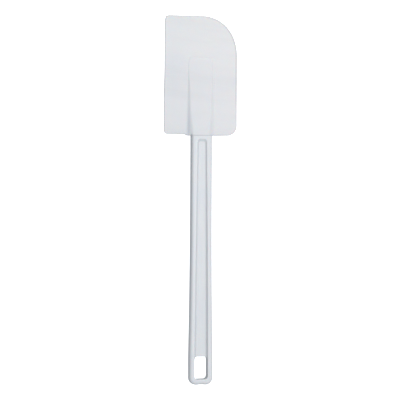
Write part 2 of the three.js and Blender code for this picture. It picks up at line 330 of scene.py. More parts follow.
class Shell:
    """One face of a piece as welded grids, which is then rolled over and mirrored into a solid."""

    def __init__(self):
        self.bm = bmesh.new()

    def grid(self, plan, heights):
        heights = np.broadcast_to(heights, plan.shape[:2])
        rows = []
        for points, zs in zip(plan, heights):
            rows.append([self.bm.verts.new((x, y, z)) for (x, y), z in zip(points, zs)])
        for lower, upper in zip(rows, rows[1:]):
            for i in range(len(lower) - 1):
                self.bm.faces.new((lower[i], lower[i + 1], upper[i + 1], upper[i]))

    def weld(self):
        bmesh.ops.remove_doubles(self.bm, verts=self.bm.verts, dist=WELD)

    def roll_over(self, path, radius, draft=0.0, sharpen=None):
        """Rounds every open edge that runs along a path, then drops it to the middle plane."""
        self.weld()
        found = {}
        for vert in {v for e in self.bm.edges if e.is_boundary for v in e.verts}:
            along, gap = path.nearest(vert.co.xy)
            if abs(gap - radius) < 0.1:
                found[vert] = along
        columns = {}
        for vert, along in found.items():
            out = path.outward([along])[0]
            columns[vert] = [vert]
            rounding = sharpen(vert.co.x, vert.co.y) if sharpen else radius
            for reach, z in edge_profile(vert.co.z, radius, draft, rounding):
                x, y = np.array(vert.co.xy) + out * reach
                columns[vert].append(self.bm.verts.new((x, y, z)))
        for edge in [e for e in self.bm.edges if e.is_boundary]:
            a, b = edge.verts
            if a in columns and b in columns:
                for k in range(len(columns[a]) - 1):
                    quad = (columns[a][k], columns[b][k], columns[b][k + 1], columns[a][k + 1])
                    self.bm.faces.new(quad)

    def solid(self, name, x=0.0):
        """Mirrors the face to the back, closes what is still open, and makes the object."""
        self.weld()
        copy = bmesh.ops.duplicate(self.bm, geom=self.bm.verts[:] + self.bm.edges[:] + self.bm.faces[:])
        for item in copy["geom"]:
            if isinstance(item, bmesh.types.BMVert):
                item.co.z = -item.co.z
        self.weld()
        bmesh.ops.holes_fill(self.bm, edges=[e for e in self.bm.edges if e.is_boundary])
        bmesh.ops.recalc_face_normals(self.bm, faces=self.bm.faces)
        return finished(self.bm, name, x)


def edge_profile(top, radius, draft, rounding):
    """Reach and height down a rounded edge and its wall, with the mould's parting ridge."""
    steps = 5
    wall_reach = radius - PARTING_HEIGHT - draft
    profile = []
    for k in range(1, steps + 1):
        a = math.pi / 2 * k / steps
        reach = wall_reach - rounding * (1 - math.sin(a)) * wall_reach / radius
        profile.append((reach, top - rounding * (1 - math.cos(a))))
    profile.append((radius - PARTING_HEIGHT, PARTING_HALF_WIDTH))
    profile.append((radius, 0.0))
    return profile


def finished(bm, name, x):
    """Turns millimetres about the middle plane and a centre line at x into the frame's metres."""
    place = Matrix.Scale(MM, 4) @ Matrix.Translation((x, 0, HALF_THICKNESS))
    bmesh.ops.transform(bm, matrix=place, verts=bm.verts)
    mesh = bpy.data.meshes.new(name)
    bm.to_mesh(mesh)
    bm.free()
    piece = bpy.data.objects.new(name, mesh)
    bpy.context.scene.collection.objects.link(piece)
    return piece


def combine(piece, other, operation):
    """Cuts or joins another solid into a piece, and removes the other."""
    modifier = piece.modifiers.new(operation, "BOOLEAN")
    modifier.operation = operation
    modifier.object = other
    modifier.solver = "EXACT"
    evaluated = piece.evaluated_get(bpy.context.evaluated_depsgraph_get())
    mesh = bpy.data.meshes.new_from_object(evaluated)
    piece.modifiers.clear()
    piece.data = mesh
    bpy.data.objects.remove(other)


# Blade

def blade_outline():
    """From the middle of the socket's mouth, clockwise round the blade, and back."""
    lower_left = (-BLADE_HALF_WIDTH, MOUTH_Y + LOWER_LEFT_RISE)
    upper_left = (UPPER_LEFT_INSET - BLADE_HALF_WIDTH, TIP_Y)
    narrow = (upper_left[0], LEFT_WIDENING[0])
    wide = (-BLADE_HALF_WIDTH, LEFT_WIDENING[1])
    middle = sum(LEFT_WIDENING) / 2
    lower_right = (BLADE_HALF_WIDTH, MOUTH_Y + LOWER_RIGHT_RISE)
    left_foot = (-SOCKET_MOUTH_HALF_WIDTH, MOUTH_Y)
    left_step = (left_foot[0] - LOWER_LEFT_STEP[0], MOUTH_Y + LOWER_LEFT_STEP[1])
    right_foot = (SOCKET_MOUTH_HALF_WIDTH, MOUTH_Y)
    sweep_top = (BLADE_HALF_WIDTH - SWEEP_WIDTH, TIP_Y)
    sweep_side = (BLADE_HALF_WIDTH, TIP_Y - SWEEP_LENGTH)
    sweep = bezier(
        sweep_top,
        (sweep_top[0] + SWEEP_TOP_PULL, TIP_Y),
        (BLADE_HALF_WIDTH, sweep_side[1] + SWEEP_SIDE_PULL),
        sweep_side,
    )
    return Path(
        [(0, MOUTH_Y)],
        round_corner((0, MOUTH_Y), left_foot, left_step, LEFT_FOOT_RADIUS),
        round_corner(left_foot, left_step, lower_left, LOWER_LEFT_STEP_RADIUS),
        round_corner(left_step, lower_left, wide, LOWER_LEFT_RADIUS),
        bezier(wide, (wide[0], middle), (narrow[0], middle), narrow),
        round_corner(narrow, upper_left, sweep_top, TIP_CORNER_RADIUS),
        sweep,
        round_corner(sweep_side, lower_right, right_foot, LOWER_RIGHT_RADIUS),
        [right_foot, (0, MOUTH_Y)],
    )


def plain_blade(x, y):
    """Half thickness of the blade without its socket: it thins smoothly to its sides and tip."""
    across = 1 - ease((np.abs(x) - SIDE_TAPER_START) / (BLADE_HALF_WIDTH - SIDE_TAPER_START))
    along = 1 - ease((y - (TIP_Y - TIP_TAPER_LENGTH)) / TIP_TAPER_LENGTH)
    return BLADE_EDGE + (BLADE_MIDDLE - BLADE_EDGE) * across * along


def along_socket(y, at_mouth, at_tip):
    return at_mouth + (at_tip - at_mouth) * (y - MOUTH_Y) / SOCKET_LENGTH


def socket_half_width(y):
    return along_socket(y, SOCKET_MOUTH_HALF_WIDTH, SOCKET_TIP_HALF_WIDTH)


def socket_top(y):
    """Height of the socket: level with the handle at its mouth, almost gone at its tip."""
    along, heights = zip(*SOCKET_STATIONS)
    shifts = np.linspace(-SOCKET_SOFTENING, SOCKET_SOFTENING, 25)
    raised = np.mean([np.interp(y - MOUTH_Y + shift, along, heights) for shift in shifts], axis=0)
    return BLADE_MIDDLE + raised


def inside_socket(x, y):
    """How far a point lies inside the socket's foot, negative outside it."""
    past_x = np.abs(x - SOCKET_X) - (socket_half_width(y) - SOCKET_TIP_RADIUS)
    past_y = y - (MOUTH_Y + SOCKET_LENGTH - SOCKET_TIP_RADIUS)
    corner = np.hypot(np.maximum(past_x, 0), np.maximum(past_y, 0))
    return SOCKET_TIP_RADIUS - corner - np.minimum(np.maximum(past_x, past_y), 0)


def blade_height(plan):
    """Half thickness of the whole blade at each plan point."""
    x, y = plan[..., 0], plan[..., 1]
    base = plain_blade(x, y)
    top = socket_top(y)
    blend = np.clip(0.45 * (top - base), 0.12, 1.0)
    wall = base + SOCKET_WALL_SLOPE * inside_socket(x, y)
    raised = smooth_max(base, smooth_min(top, wall, blend), blend)

    # Past the handle's sides the socket slopes down to the blade's lower edge
    behind_handle = np.maximum(NECK_HALF_WIDTH - np.abs(x - HANDLE_X), 0)
    end = base + SOCKET_END_SLOPE * (y - MOUTH_Y) + SOCKET_END_SIDE_SLOPE * behind_handle
    return np.minimum(np.minimum(raised, end), HALF_THICKNESS)


def socket_foot(side_rows, corner_rows, tip_rows):
    """Points and outward normals along the socket's foot, from its mouth round its tip and back."""
    tip = MOUTH_Y + SOCKET_LENGTH
    shoulder = tip - SOCKET_TIP_RADIUS
    corner_x = socket_half_width(shoulder) - SOCKET_TIP_RADIUS
    left = []
    for y in np.linspace(MOUTH_Y + RIM_RADIUS, shoulder, side_rows + 1)[:-1]:
        left.append((-socket_half_width(y), y, -1, 0))
    for a in np.linspace(0, math.pi / 2, corner_rows + 1)[:-1]:
        x = -corner_x - SOCKET_TIP_RADIUS * math.cos(a)
        left.append((x, shoulder + SOCKET_TIP_RADIUS * math.sin(a), -math.cos(a), math.sin(a)))
    left += [(x, tip, 0, 1) for x in np.linspace(-corner_x, 0, tip_rows // 2 + 1)]
    right = [(-x, y, -nx, ny) for x, y, nx, ny in reversed(left[:-1])]
    foot = np.array(left + right)
    return foot[:, :2], foot[:, 2:]


def blade_plan(outline):
    """The plan of one face: a strip under the socket's top, and a band from it out to the rim."""
    side_rows, corner_rows, tip_rows = 64, 10, 18
    wall_levels, foot_levels, field_levels = 16, 5, 24
    foot_margin, top_margin = 1.2, 1.0
    foot, normal = socket_foot(side_rows, corner_rows, tip_rows)
    shoulder = MOUTH_Y + SOCKET_LENGTH - SOCKET_TIP_RADIUS

    # Where each line from the foot reaches the rim, evened out along it
    left, right = -BLADE_HALF_WIDTH, BLADE_HALF_WIDTH
    targets = [
        (left + LOWER_LEFT_RADIUS * 0.3, MOUTH_Y + LOWER_LEFT_RISE + LOWER_LEFT_RADIUS * 0.3),
        (left, shoulder + 4),
        (left + 9, TIP_Y),
        (14, TIP_Y - 2),
        (right, shoulder + 4),
        (right - LOWER_RIGHT_RADIUS * 0.3, MOUTH_Y + LOWER_RIGHT_RISE + LOWER_RIGHT_RADIUS * 0.3),
    ]
    stops = [outline.nearest(target)[0] for target in targets]
    marks = np.cumsum([0, side_rows, corner_rows, tip_rows, corner_rows, side_rows])
    rim_along = np.interp(np.arange(len(foot)), marks, stops)
    for _ in range(30):
        rim_along[1:-1] = (rim_along[:-2] + 2 * rim_along[1:-1] + rim_along[2:]) / 4
    rim = outline.inset(rim_along, RIM_RADIUS)

    # Offsets from the foot: in through the wall, out round the fillet, then across the blade
    wall_width = (socket_top(foot[:, 1]) - BLADE_MIDDLE) / SOCKET_WALL_SLOPE + top_margin
    columns = []
    for share in np.linspace(1, 0, wall_levels + 1)[:-1]:
        columns.append(foot - normal * (share * wall_width)[:, None])
    columns += [foot + normal * reach for reach in np.linspace(0, foot_margin, foot_levels + 1)]
    field = np.linspace(0, 1, field_levels + 1)[1:]
    columns += [columns[-1] + (rim - columns[-1]) * share for share in field]
    band = np.stack(columns, axis=1)

    # The band's two ends follow the blade's lower edge, and the rows above them ease away from it
    eased_rows = 14
    for end, step, corner in ((0, 1, rim_along[0]), (-1, -1, outline.length - rim_along[-1])):
        near = np.abs(band[end][:wall_levels + foot_levels + 1, 0])
        along = np.r_[near, near[-1] + (corner - near[-1]) * field]
        along = along if end == 0 else outline.length - along
        shift = outline.inset(along, RIM_RADIUS) - band[end]
        for k in range(eased_rows):
            band[end + step * k] += shift * (1 - k / eased_rows) ** 2

    # Rungs across the socket's top, up to its rounded tip
    across = np.linspace(0, 1, len(foot) - 2 * side_rows)[:, None]
    rungs = [band[j, 0] * (1 - across) + band[-1 - j, 0] * across for j in range(side_rows)]
    rungs.append(band[side_rows:len(foot) - side_rows, 0])
    return np.stack(rungs), band


def rim_rounding(x, y):
    """The blade's rim is rounded, but its mouth meets the handle in a sharp edge."""
    past_handle = (abs(x - HANDLE_X) - NECK_HALF_WIDTH + 1.5) / 2
    above_mouth = y - MOUTH_Y - 2 * RIM_RADIUS
    share = float(ease(max(past_handle, above_mouth)))
    return MOUTH_ROUNDING + (RIM_RADIUS - MOUTH_ROUNDING) * share


def blade_body():
    outline = blade_outline()
    shell = Shell()
    for plan in blade_plan(outline):
        shell.grid(plan, blade_height(plan))
    shell.roll_over(outline, RIM_RADIUS, 0.0, rim_rounding)
    body = shell.solid("blade_body")
    combine(body, tang(TANG_FIT), "DIFFERENCE")
    return body


# Tang

def hull(points, name):
    """The convex solid round some points that are measured from the handle's centre line."""
    bm = bmesh.new()
    for point in points:
        bm.verts.new(point)
    bmesh.ops.convex_hull(bm, input=bm.verts)
    return finished(bm, name, HANDLE_X)


def tang(fit):
    """The wedge inside the socket, with its windows, grown by a fit to make the cavity for it."""
    tip_y = MOUTH_Y + TANG_LENGTH + fit
    stations = [
        (TANG_ROOT[0], NECK_Y - 1, TANG_ROOT[1]),
        (TANG_TIP[0], tip_y - TANG_CHAMFER, TANG_TIP[1]),
        (TANG_TIP[0] - TANG_CHAMFER, tip_y, TANG_TIP[1]),
    ]
    corners = []
    for half_width, y, half_thickness in stations:
        for sx in (-1, 1):
            for sz in (-1, 1):
                corners.append((sx * (half_width + fit), y, sz * (half_thickness + fit)))
    wedge = hull(corners, "tang_wedge")
    half_width = WINDOW_HALF_WIDTH - fit
    angles = np.linspace(0, math.pi, 17)
    for i in range(WINDOW_COUNT):
        low = MOUTH_Y + FIRST_WINDOW_OFFSET + i * WINDOW_SPACING + WINDOW_HALF_WIDTH
        high = low + WINDOW_LENGTH - 2 * WINDOW_HALF_WIDTH
        ring = [(half_width * math.cos(a), high + half_width * math.sin(a)) for a in angles]
        ring += [(-half_width * math.cos(a), low - half_width * math.sin(a)) for a in angles]
        post = hull([(x, y, z) for x, y in ring for z in (-HALF_THICKNESS, HALF_THICKNESS)], "post")
        combine(wedge, post, "DIFFERENCE")
    return wedge


# Handle

def handle_side():
    """From the neck down the right side, round the end with its gate dip, and up the left side."""
    end_corner = (END_HALF_WIDTH, END_Y)
    side = bezier(
        (NECK_HALF_WIDTH, FLARE_START_Y),
        (NECK_HALF_WIDTH, FLARE_START_Y - FLARE_START_PULL),
        (END_HALF_WIDTH, FLARE_END_Y + FLARE_END_PULL),
        (END_HALF_WIDTH, FLARE_END_Y),
    )
    corner = round_corner((END_HALF_WIDTH, FLARE_END_Y), end_corner, (0, END_Y), HANDLE_END_RADIUS)
    dip = bezier(
        (END_DIP_HALF_WIDTH, END_Y),
        (END_DIP_HALF_WIDTH / 2, END_Y),
        (END_DIP_HALF_WIDTH / 2, END_Y + END_DIP_DEPTH),
        (0, END_Y + END_DIP_DEPTH),
    )
    right = np.vstack([[(NECK_HALF_WIDTH, NECK_Y)], side, corner, dip])
    return Path(right, mirrored(right))


def recess_rows(side_run, end_run):
    """The recess's outline some way in from its rim: its left side going up, then its lower and
    upper ends from left to right. The left side meets the ends in the middle of each corner."""
    low = RECESS_BOTTOM_Y + end_run
    high = RECESS_TOP_Y - end_run
    low_half, middle_half, high_half = (
        half - side_run
        for half in (RECESS_BOTTOM_HALF_WIDTH, RECESS_MIDDLE_HALF_WIDTH, RECESS_TOP_HALF_WIDTH)
    )
    radius = RECESS_CORNER_RADIUS - side_run
    low_start = np.array([-low_half, low + radius])
    high_end = np.array([-high_half, high - radius])
    bend = np.array([-middle_half, RECESS_CURVE_Y])
    t = closing_steps(1, fine=0.0014, coarse=0.013, growth=1.14)[1:-1, None]
    side = (1 - t) ** 2 * low_start + 2 * t * (1 - t) * bend + t ** 2 * high_end
    eighth = math.pi / 4
    low_centre = low_start + (radius, 0)
    high_centre = high_end + (radius, 0)
    left = np.vstack([
        arc(low_centre, radius, 5 * eighth, 4 * eighth),
        side,
        arc(high_centre, radius, 4 * eighth, 3 * eighth),
    ])
    lower_half = np.vstack([
        arc(low_centre, radius, 5 * eighth, 6 * eighth)[:-1],
        np.linspace((low_centre[0], low), (0, low), 12),
    ])
    upper_half = np.vstack([
        arc(high_centre, radius, 3 * eighth, 2 * eighth)[:-1],
        np.linspace((high_centre[0], high), (0, high), 12),
    ])
    return left, both_halves(lower_half), both_halves(upper_half)


def arc(centre, radius, start, end):
    angles = np.linspace(start, end, CORNER_STEPS + 1)
    return centre + radius * np.column_stack([np.cos(angles), np.sin(angles)])


def both_halves(left_half):
    """A row that runs on from its left half, which ends on the Y axis, to its mirrored right."""
    return np.vstack([left_half, mirrored(left_half)[1:]])


def slot_ring():
    """The hang slot, clockwise about the solid, so that the open air on its left is the hole."""
    low = (SLOT_HALF_WIDTH, SLOT_BOTTOM_Y)
    high = (SLOT_HALF_WIDTH, SLOT_TOP_Y)
    right = np.vstack([
        [(0, SLOT_BOTTOM_Y)],
        round_corner((0, SLOT_BOTTOM_Y), low, high, SLOT_CORNER_RADIUS),
        round_corner(low, high, (0, SLOT_TOP_Y), SLOT_CORNER_RADIUS),
        [(0, SLOT_TOP_Y)],
    ])
    return Path(right, mirrored(right))


def between(outer, inner, levels):
    """A plan grid of straight rungs from one row of points to another."""
    share = np.linspace(0, 1, levels + 1)[:, None, None]
    return outer[None] * (1 - share) + inner[None] * share


def wall_profile(draft, rim, floor, steps=4):
    """Inset and depth down a recess wall, from the start of its rim's fillet to its floor."""
    angles = np.linspace(0, math.pi / 2 - draft, steps + 1)
    rim_arc = rim * np.column_stack([np.sin(angles), 1 - np.cos(angles)])
    floor_arc = floor * np.column_stack([np.sin(angles), 1 - np.cos(angles)])
    straight = RECESS_DEPTH - rim_arc[-1, 1] - floor_arc[-1, 1]
    end = rim_arc[-1] + floor_arc[-1] + (straight * math.tan(draft), straight)
    return np.vstack([rim_arc, (end - floor_arc)[::-1]])


def recess_wall_and_floor(shell):
    sides = wall_profile(RECESS_SIDE_DRAFT, RECESS_RIM_FILLET, RECESS_FLOOR_FILLET)
    ends = wall_profile(RECESS_END_DRAFT, RECESS_RIM_FILLET, RECESS_END_FILLET)
    levels = [recess_rows(side[0], end[0]) for side, end in zip(sides, ends)]
    lefts, lowers, uppers = (np.stack(rows) for rows in zip(*levels))

    # Depths turn from the side wall's to the end wall's round the half corners
    for rows, away_from_corner in ((lefts, 0), (lefts * (-1, 1), 0), (lowers, 1), (uppers, 1)):
        share = np.full(rows.shape[1], float(away_from_corner))
        turn = np.linspace(0.5, away_from_corner, CORNER_STEPS + 1)
        share[:len(turn)] = turn
        share[-len(turn):] = turn[::-1]
        depths = sides[:, 1][:, None] * (1 - share) + ends[:, 1][:, None] * share
        shell.grid(rows, recess_height(rows[..., 1], depths))

    left, lower, upper = lefts[-1], lowers[-1], uppers[-1]
    floors = [between(left, left * (-1, 1), len(lower) - 1)]
    for end, corner in ((lower, left[0]), (upper, left[-1])):
        floors.append(between(np.linspace(corner, corner * (-1, 1), len(end)), end, 1))
    for floor in floors:
        shell.grid(floor, recess_height(floor[..., 1], RECESS_DEPTH))


def recess_opening(side):
    """Carries one face's recess on down into the slot, with the same walls and floor."""
    walls = wall_profile(RECESS_SIDE_DRAFT, RECESS_RIM_FILLET, RECESS_FLOOR_FILLET)
    half_widths = RECESS_BOTTOM_HALF_WIDTH + OPENING_FIT - walls[:, 0]
    half_widths = np.r_[half_widths[0], half_widths]
    bm = bmesh.new()
    rings = []
    for y in RECESS_OPENING:
        heights = recess_height(y, walls[:, 1]) - OPENING_FIT
        heights = side * np.r_[HALF_THICKNESS + 1, heights]
        ring = [bm.verts.new((x, y, z)) for x, z in zip(half_widths, heights)]
        ring += [bm.verts.new((-x, y, z)) for x, z in zip(half_widths[::-1], heights[::-1])]
        rings.append(ring)
    for i in range(len(rings[0])):
        j = (i + 1) % len(rings[0])
        bm.faces.new((rings[0][i], rings[0][j], rings[1][j], rings[1][i]))
    for ring in rings:
        bm.faces.new(ring)
    bmesh.ops.recalc_face_normals(bm, faces=bm.faces)
    return finished(bm, "recess_opening", HANDLE_X)


def recess_height(y, depth):
    """Height above the middle plane, for a depth at the lower end that shrinks towards the neck."""
    share = np.interp(y, (RECESS_BOTTOM_Y, RECESS_TOP_Y), (1, RECESS_TOP_SHARE))
    return HALF_THICKNESS - depth * share


def handle_face():
    """One face of the handle: rails and lands round the recess and the slot, and the recess."""
    shell = Shell()
    side, slot = handle_side(), slot_ring()
    left, lower, upper = recess_rows(0, 0)
    flip = np.array([-1, 1])

    # Round the recess
    low, high = left[0, 1], left[-1, 1]
    low_end, high_end = low + RECESS_RIM_REACH, high - RECESS_RIM_REACH
    ys = np.interp(left[:, 1], [low, low_end, high_end, high], [SPLIT_Y, low_end, high_end, NECK_Y])
    rail = inner_side(side, ys)
    neck = np.linspace(rail[-1], rail[-1] * flip, len(upper))
    split = np.linspace(rail[0], rail[0] * flip, len(lower))
    shell.grid(between(rail, left, 6), HALF_THICKNESS)
    shell.grid(between(rail, left, 6) * flip, HALF_THICKNESS)
    shell.grid(between(neck, upper, 6), HALF_THICKNESS)
    shell.grid(between(split, lower, 6), HALF_THICKNESS)

    # Round the slot
    end_corner = side.nearest((-END_HALF_WIDTH + 2, END_Y + 2))[0]
    rail_start = side.nearest(rail[0])[0]
    slot_low = slot.nearest((SLOT_HALF_WIDTH - 0.9, SLOT_BOTTOM_Y + 0.9))[0]
    slot_high = slot.nearest((SLOT_HALF_WIDTH - 0.9, SLOT_TOP_Y - 0.9))[0]
    end_rail = side.inset(np.linspace(end_corner, rail_start, 65), HANDLE_EDGE_RADIUS)
    end_rail[-1] = rail[0]
    end_row = side.inset(np.linspace(end_corner, side.length - end_corner, 49), HANDLE_EDGE_RADIUS)
    slot_side = slot.inset(np.linspace(slot_low, slot_high, 65), SLOT_FILLET) * flip
    slot_bottom = both_halves(slot.inset(np.linspace(slot_low, 0, 25), SLOT_FILLET) * flip)
    middle = slot.length / 2
    half_top = np.linspace(slot_high, middle, len(split) // 2 + 1)
    slot_top = both_halves(slot.inset(half_top, SLOT_FILLET) * flip)
    shell.grid(between(end_rail, slot_side, 5), HALF_THICKNESS)
    shell.grid(between(end_rail, slot_side, 5) * flip, HALF_THICKNESS)
    shell.grid(between(end_row, slot_bottom, 5), HALF_THICKNESS)
    shell.grid(between(split, slot_top, 5), HALF_THICKNESS)

    recess_wall_and_floor(shell)
    shell.roll_over(side, HANDLE_EDGE_RADIUS, HANDLE_DRAFT_RUN)
    shell.roll_over(slot, SLOT_FILLET, SLOT_DRAFT_RUN)
    return shell


def inner_side(side, ys):
    """Points of the left side's inner edge at given heights along the tool."""
    along = np.linspace(side.length / 2, side.length, 4000)
    inner = side.inset(along, HANDLE_EDGE_RADIUS)
    straight = inner[:, 0] < -END_HALF_WIDTH / 2
    return np.column_stack([np.interp(ys, inner[straight, 1], inner[straight, 0]), ys])


def disc(radius, ring_at, name):
    """A short round solid, where ring_at gives its two ends' points for a place on the circle."""
    angles = DISC_TURN + np.linspace(0, 2 * math.pi, 33)[:-1]
    points = []
    for a in angles:
        points += ring_at(radius * math.cos(a), radius * math.sin(a))
    return hull(points, name)


def handle_body():
    body = handle_face().solid("handle_body", HANDLE_X)
    for side in (-1, 1):
        combine(body, recess_opening(side), "DIFFERENCE")
    low, high = RECESS_BOTTOM_Y + EJECTOR_END_MARGIN, RECESS_TOP_Y - EJECTOR_END_MARGIN
    for y in np.linspace(low, high, EJECTOR_COUNT):
        floor = -float(recess_height(y, RECESS_DEPTH))
        ends = (floor - 1, floor + EJECTOR_DEPTH)
        mark = disc(EJECTOR_RADIUS, lambda u, v: [(u, y + v, z) for z in ends], "ejector_mark")
        combine(body, mark, "DIFFERENCE")
    gate_ends = (END_Y + END_DIP_DEPTH - GATE_HEIGHT, END_Y + END_DIP_DEPTH + 1)
    gate = disc(GATE_RADIUS, lambda u, v: [(u, y, v) for y in gate_ends], "gate")
    combine(body, gate, "UNION")
    combine(body, tang(0), "UNION")
    return body


# Materials

class Looks:
    """A node material round one Principled shader, with short ways to add its textures."""

    def __init__(self, name, **constants):
        self.material = bpy.data.materials.new(name)
        self.material.use_nodes = True
        self.tree = self.material.node_tree
        self.shader = self.tree.nodes["Principled BSDF"]
        for socket, value in constants.items():
            self.shader.inputs[socket.replace("_", " ")].default_value = value
        self.place = self.add("ShaderNodeTexCoord").outputs["Object"]

    def add(self, kind, **settings):
        node = self.tree.nodes.new(kind)
        for key, value in settings.items():
            setattr(node, key, value)
        return node

    def feed(self, node, **inputs):
        for key, value in inputs.items():
            socket = node.inputs[key.replace("_", " ")]
            if isinstance(value, bpy.types.NodeSocket):
                self.tree.links.new(value, socket)
            else:
                socket.default_value = value
        return node

    def stretched(self, scale, turn=0.0):
        """Object coordinates turned about Z and scaled along each axis."""
        turned = self.feed(self.add("ShaderNodeMapping"), Vector=self.place, Rotation=(0, 0, turn))
        return self.feed(self.add("ShaderNodeMapping"), Vector=turned.outputs[0], Scale=scale).outputs[0]

    def noise(self, size, detail=2.0, roughness=0.5, vector=None):
        """Soft noise whose blobs are about a given size in metres."""
        node = self.add("ShaderNodeTexNoise")
        self.feed(node, Vector=vector or self.place, Scale=1 / size, Detail=detail, Roughness=roughness)
        return node.outputs["Fac"]

    def between(self, value, low, high, to_low=0.0, to_high=1.0):
        """The part of a value from low to high, stretched over a new range and held at its ends."""
        node = self.add("ShaderNodeMapRange", clamp=True)
        self.feed(node, Value=value, From_Min=low, From_Max=high, To_Min=to_low, To_Max=to_high)
        return node.outputs["Result"]

    def math(self, operation, a, b):
        node = self.add("ShaderNodeMath", operation=operation)
        for socket, value in zip(node.inputs, (a, b)):
            if isinstance(value, bpy.types.NodeSocket):
                self.tree.links.new(value, socket)
            else:
                socket.default_value = value
        return node.outputs[0]

    def mix(self, share, a, b):
        node = self.add("ShaderNodeMix", data_type="RGBA")
        for socket, value in zip((node.inputs[0], node.inputs[6], node.inputs[7]), (share, a, b)):
            if isinstance(value, bpy.types.NodeSocket):
                self.tree.links.new(value, socket)
            else:
                socket.default_value = value if isinstance(value, float) else (*value, 1)
        return node.outputs[2]

    def bumps(self, *layers):
        """Stacks bump layers, each a height and its depth in metres, onto the shader's normal."""
        normal = None
        for height, depth in layers:
            node = self.feed(self.add("ShaderNodeBump"), Height=height, Distance=depth)
            if normal:
                self.tree.links.new(normal, node.inputs["Normal"])
            normal = node.outputs[0]
        self.tree.links.new(normal, self.shader.inputs["Normal"])

    def attribute(self, name):
        return self.add("ShaderNodeAttribute", attribute_name=name).outputs["Fac"]


def soft_blade_looks():
    """White elastomer: matte, softly mottled, with painted shade greying its rim and in the crease by
    the socket's wall, painted shade towards its lower edge, and painted light on its tip and right side.
    """
    looks = Looks("white_elastomer", Subsurface_Weight=0.12, Subsurface_Scale=0.0012, Sheen_Weight=0.05)
    across, along = looks.feed(looks.add("ShaderNodeSeparateXYZ"), Vector=looks.place).outputs[:2]
    clouds = looks.noise(0.03, 3)
    specks = looks.noise(0.0015, 3, 0.6)
    wiped = looks.noise(0.01, 3, 0.6, looks.stretched((0.12, 1, 1), math.radians(6)))
    rim = looks.attribute("rim")
    # Painted shade: a grey line just inside the rim on the blade's right side, fainter towards its lower
    # end
    line = looks.math("MULTIPLY", looks.between(rim, 0.05, 0.35), looks.between(rim, 0.80, 0.55))
    line = looks.math("MULTIPLY", line, looks.between(across, 0.0, 0.03))
    line = looks.math("MULTIPLY", line, looks.between(along, 0.075, 0.105, 0.2, 0.7))
    # Painted shade along the rounded rim, where it turns away from the light: strong on the left side,
    # faint on the right
    rim_shade_share = looks.between(across, 0.0, 0.03, 0.9, 0.1)
    edge = looks.math("MULTIPLY", looks.between(rim, 0.35, 0.9), rim_shade_share)
    # Painted shade in the crease low on the socket's left wall, by the blade's lower edge
    crease_shade = looks.math("MULTIPLY", looks.attribute("crease"), looks.between(along, 0.095, 0.070))
    tone = looks.mix(looks.between(clouds, 0.35, 0.65), BLADE_COOL, BLADE_WARM)
    # Painted light: the blade's right side is made paler, as if more light falls on it
    tone = looks.mix(looks.between(across, -0.025, 0.025, 0, 0.6), tone, BLADE_LIT_SIDE)
    # Painted light: the blade is made paler towards its tip, as if more light falls there
    tone = looks.mix(looks.between(along, 0.118, 0.155, 0, 0.30), tone, BLADE_LIT_TIP)
    # Painted shade: the blade is made darker towards its lower edge
    tone = looks.mix(looks.between(along, 0.095, 0.070, 0, 0.16), tone, BLADE_MARKS_AND_SHADE)
    tone = looks.mix(looks.between(specks, 0.55, 0.75, 0, 0.10), tone, BLADE_MARKS_AND_SHADE)
    tone = looks.mix(looks.between(wiped, 0.50, 0.80, 0, 0.22), tone, BLADE_MARKS_AND_SHADE)
    tone = looks.mix(edge, tone, BLADE_RIM_SHADE)
    tone = looks.mix(line, tone, BLADE_RIM_LINE_SHADE)
    tone = looks.mix(looks.math("MULTIPLY", crease_shade, 0.7), tone, BLADE_CREASE_SHADE)
    looks.feed(looks.shader, Base_Color=tone)
    rough = looks.between(wiped, 0.3, 0.7, 0.50, 0.62)
    rough = looks.math("SUBTRACT", rough, looks.between(rim, 0.0, 1.0, 0, 0.10))
    looks.feed(looks.shader, Roughness=rough)
    looks.bumps(
        (looks.noise(0.012, 2), 0.00010),
        (wiped, 0.00002),
        (looks.noise(0.00028, 2), 0.000012),
    )
    return looks.material


def rigid_handle_looks():
    """White polypropylene: satin, with faint flow lines along the tool and rubbed, scuffed rails."""
    looks = Looks("white_polypropylene", Subsurface_Weight=0.08, Subsurface_Scale=0.001)
    clouds = looks.noise(0.04, 3)
    flow = looks.noise(0.0012, 3, 0.6, looks.stretched((1, 0.03, 1)))
    scuffs = looks.noise(0.0006, 2, 0.7, looks.stretched((1, 0.05, 1), math.radians(24)))
    more_scuffs = looks.noise(0.0006, 2, 0.7, looks.stretched((1, 0.05, 1), math.radians(-17)))
    wear = looks.attribute("wear")
    scratch = looks.math(
        "MAXIMUM",
        looks.between(scuffs, 0.66, 0.74),
        looks.between(more_scuffs, 0.67, 0.75),
    )
    patch = looks.between(looks.noise(0.025, 2), 0.45, 0.65)
    scratch = looks.math("MULTIPLY", scratch, patch)
    tone = looks.mix(looks.between(clouds, 0.35, 0.65), HANDLE_COOL, HANDLE_WARM)
    tone = looks.mix(looks.between(flow, 0.45, 0.75, 0, 0.25), tone, HANDLE_DARK)
    tone = looks.mix(looks.math("MULTIPLY", scratch, 0.3), tone, HANDLE_PALE)
    tone = looks.mix(looks.between(wear, 0.2, 1.0, 0, 0.25), tone, HANDLE_PALE)
    looks.feed(looks.shader, Base_Color=tone)
    rough = looks.between(flow, 0.3, 0.7, 0.33, 0.41)
    rough = looks.math("ADD", rough, looks.math("MULTIPLY", scratch, 0.18))
    rough = looks.math("SUBTRACT", rough, looks.between(wear, 0.0, 1.0, 0, 0.08))
    looks.feed(looks.shader, Roughness=rough)
    looks.bumps(
        (looks.noise(0.02, 2), 0.00008),
        (flow, 0.000012),
        (scratch, -0.000006),
        (looks.noise(0.00018, 2), 0.000005),
    )
    return looks.material


